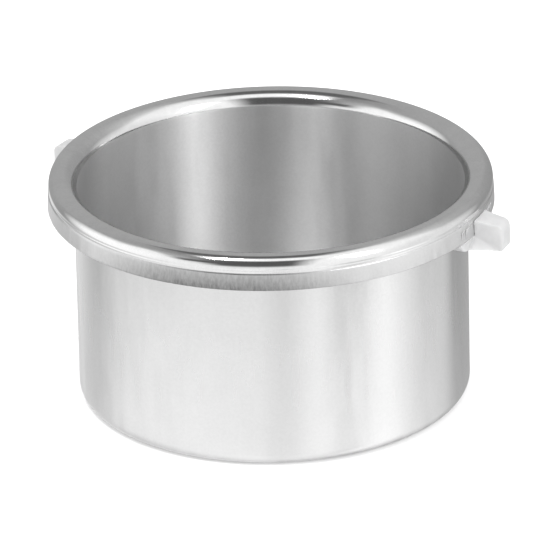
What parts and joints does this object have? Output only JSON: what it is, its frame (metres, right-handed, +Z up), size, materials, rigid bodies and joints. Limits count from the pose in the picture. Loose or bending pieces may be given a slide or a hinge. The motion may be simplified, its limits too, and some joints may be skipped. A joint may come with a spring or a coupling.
{
  "type": "wax warmer pot",
  "caption": "Round drawn aluminium inner pot of a wax warmer, with a rolled rim, a turned-down skirt and moulded plastic grips pushed on to the skirt.",
  "frame": {"origin": "centre of the pot's underside", "axes": "+Z up along the pot's axis of revolution, +X towards grip_right; the two grips lie along X, each 4.4 degrees towards +Y"},
  "size_m": [0.1414, 0.1256, 0.0661],
  "materials": {
    "pot_aluminium": "satin drawn walls, bright rolled rim",
    "grip_plastic": "translucent white moulding, soft gloss"
  },
  "bodies": {
    "root": {"pot_body": "pot_aluminium", "grip_right": "grip_plastic", "grip_left": "grip_plastic"}
  },
  "joints": []
}
